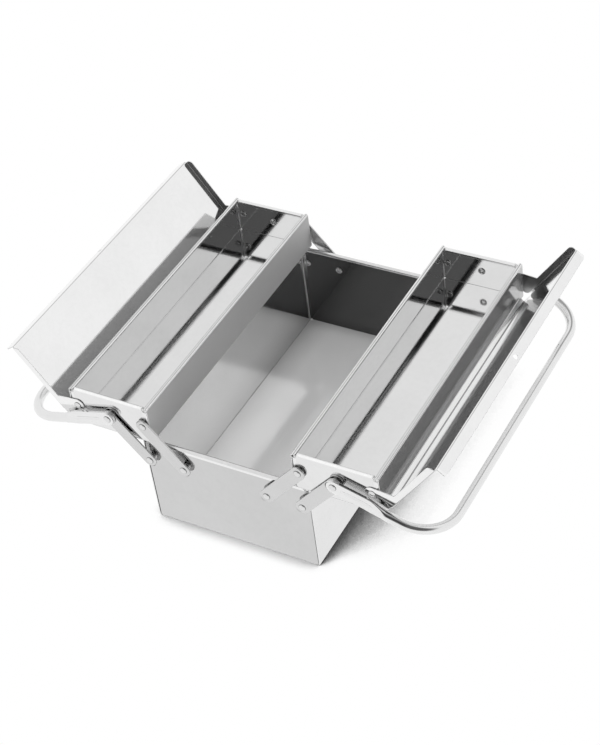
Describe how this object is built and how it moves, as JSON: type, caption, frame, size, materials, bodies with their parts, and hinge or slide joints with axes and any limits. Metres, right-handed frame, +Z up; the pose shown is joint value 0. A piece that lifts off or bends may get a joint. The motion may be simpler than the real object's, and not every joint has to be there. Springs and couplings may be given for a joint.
{
  "type": "cantilever tool box",
  "caption": "Folded sheet steel tool box whose two upper trays swing out on riveted arms, each with its own hinged lid and tubular carrying handle.",
  "frame": {"origin": "middle of the base's flat underside", "axes": "+X across the box towards the right tray, +Y along it towards the rear end, +Z up out of the open base"},
  "size_m": [0.515, 0.3874, 0.2008],
  "materials": {
    "sheet_steel": "mirror-polished stainless sheet",
    "lid_steel": "mirror-polished stainless sheet",
    "arm_steel": "polished flat bar",
    "rivet_steel": "polished round heads",
    "tube_steel": "polished bent tube"
  },
  "bodies": {
    "base": {"base_wrap": "sheet_steel", "base_front_panel": "sheet_steel", "base_rear_panel": "sheet_steel", "base_rivets": "rivet_steel", "base_spacers": "rivet_steel"},
    "left_inner_arms": {"left_inner_arm_front": "arm_steel", "left_inner_arm_rear": "arm_steel"},
    "left_outer_arms": {"left_outer_arm_front": "arm_steel", "left_outer_arm_rear": "arm_steel"},
    "left_tray": {"left_tray_wrap": "sheet_steel", "left_tray_front_panel": "sheet_steel", "left_tray_rear_panel": "sheet_steel", "left_tray_inner_rivets": "rivet_steel", "left_tray_outer_rivets": "rivet_steel", "left_tray_lid_rivets": "rivet_steel", "left_tray_spacers": "rivet_steel"},
    "left_lid": {"left_lid": "lid_steel"},
    "left_handle": {"left_handle": "tube_steel"},
    "right_inner_arms": {"right_inner_arm_front": "arm_steel", "right_inner_arm_rear": "arm_steel"},
    "right_outer_arms": {"right_outer_arm_front": "arm_steel", "right_outer_arm_rear": "arm_steel"},
    "right_tray": {"right_tray_wrap": "sheet_steel", "right_tray_front_panel": "sheet_steel", "right_tray_rear_panel": "sheet_steel", "right_tray_inner_rivets": "rivet_steel", "right_tray_outer_rivets": "rivet_steel", "right_tray_lid_rivets": "rivet_steel", "right_tray_spacers": "rivet_steel"},
    "right_lid": {"right_lid": "lid_steel"},
    "right_handle": {"right_handle": "tube_steel"}
  },
  "joints": [
    {"name": "left_tray_swing", "type": "hinge", "parent": "base", "child": "left_inner_arms", "pos_m": [-0.0505, 0, 0.091], "axis": [0, 1, 0], "range_deg": [0, 81.78]},
    {"name": "left_outer_arm_swing", "type": "hinge", "parent": "base", "child": "left_outer_arms", "pos_m": [-0.0925, 0, 0.091], "axis": [0, 1, 0], "range_deg": [0, 81.78]},
    {"name": "left_tray_levelling", "type": "hinge", "parent": "left_inner_arms", "child": "left_tray", "pos_m": [-0.0925, 0, 0.1395], "axis": [0, 1, 0], "range_deg": [-81.78, 0]},
    {"name": "left_lid_fold", "type": "hinge", "parent": "left_tray", "child": "left_lid", "pos_m": [-0.1755, 0, 0.141], "axis": [0, 1, 0], "range_deg": [0, 126.7]},
    {"name": "left_handle_lift", "type": "hinge", "parent": "left_tray", "child": "left_handle", "pos_m": [-0.1345, 0, 0.1395], "axis": [0, 1, 0], "range_deg": [0, 126.7]},
    {"name": "right_tray_swing", "type": "hinge", "parent": "base", "child": "right_inner_arms", "pos_m": [0.0505, 0, 0.091], "axis": [0, -1, 0], "range_deg": [0, 81.78]},
    {"name": "right_outer_arm_swing", "type": "hinge", "parent": "base", "child": "right_outer_arms", "pos_m": [0.0925, 0, 0.091], "axis": [0, -1, 0], "range_deg": [0, 81.78]},
    {"name": "right_tray_levelling", "type": "hinge", "parent": "right_inner_arms", "child": "right_tray", "pos_m": [0.0925, 0, 0.1395], "axis": [0, -1, 0], "range_deg": [-81.78, 0]},
    {"name": "right_lid_fold", "type": "hinge", "parent": "right_tray", "child": "right_lid", "pos_m": [0.1755, 0, 0.141], "axis": [0, -1, 0], "range_deg": [0, 126.7]},
    {"name": "right_handle_lift", "type": "hinge", "parent": "right_tray", "child": "right_handle", "pos_m": [0.1345, 0, 0.1395], "axis": [0, -1, 0], "range_deg": [0, 126.7]}
  ],
  "couplings": [
    {"joint": "left_outer_arm_swing", "follows": "left_tray_swing", "ratio": 1},
    {"joint": "left_tray_levelling", "follows": "left_tray_swing", "ratio": -1},
    {"joint": "left_handle_lift", "follows": "left_lid_fold", "ratio": 1},
    {"joint": "right_outer_arm_swing", "follows": "right_tray_swing", "ratio": 1},
    {"joint": "right_tray_levelling", "follows": "right_tray_swing", "ratio": -1},
    {"joint": "right_handle_lift", "follows": "right_lid_fold", "ratio": 1}
  ]
}
